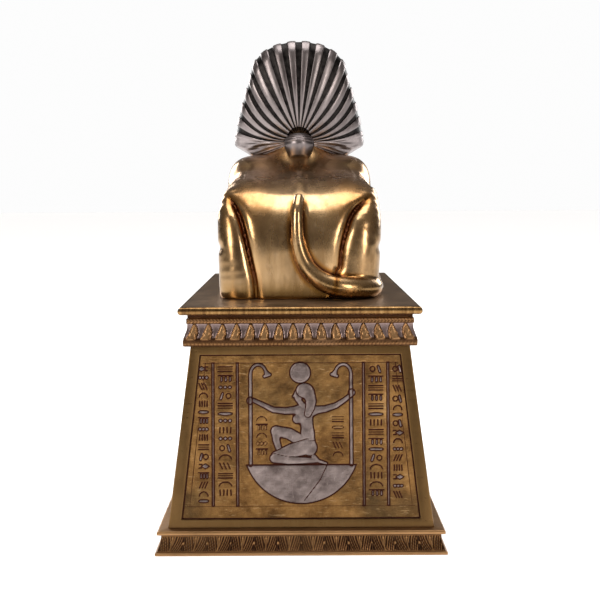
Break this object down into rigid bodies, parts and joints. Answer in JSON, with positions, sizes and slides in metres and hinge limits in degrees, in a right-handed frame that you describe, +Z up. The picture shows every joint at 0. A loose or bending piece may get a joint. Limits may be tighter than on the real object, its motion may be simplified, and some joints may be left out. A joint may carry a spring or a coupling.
{
  "type": "sphinx statue on pedestal",
  "caption": "Recumbent sphinx with a pleated nemes headcloth and coiled tail, cast in gilt metal, on a battered pedestal with a sunk relief panel on each side.",
  "frame": {"origin": "centre of the plinth's underside", "axes": "+Z up; the sphinx faces -Y, its rump is towards +Y, its right side and the curl of its tail are towards -X"},
  "size_m": [0.994, 1.61, 1.8342],
  "materials": {
    "gilt_body": "polished gilt with amber and brown tarnish in the creases",
    "nemes_silver": "polished silver plate, raised bands of the headcloth",
    "nemes_dark": "near-black polished stripes of the headcloth",
    "slab": "dark polished bronze top with a bright rounded edge",
    "frame_brass": "satin olive brass",
    "lotus_bronze": "antique bronze with brighter raised lotus relief",
    "relief_panel": "antique gold-brown relief with pewter figures and dark red-brown outlines, scratched"
  },
  "bodies": {
    "root": {"foot_moulding": "lotus_bronze", "pedestal_frame": "frame_brass", "panel_rear": "relief_panel", "panel_left": "relief_panel", "panel_front": "relief_panel", "panel_right": "relief_panel", "cornice": "lotus_bronze", "top_slab": "slab", "sphinx": "gilt_body"}
  },
  "joints": []
}
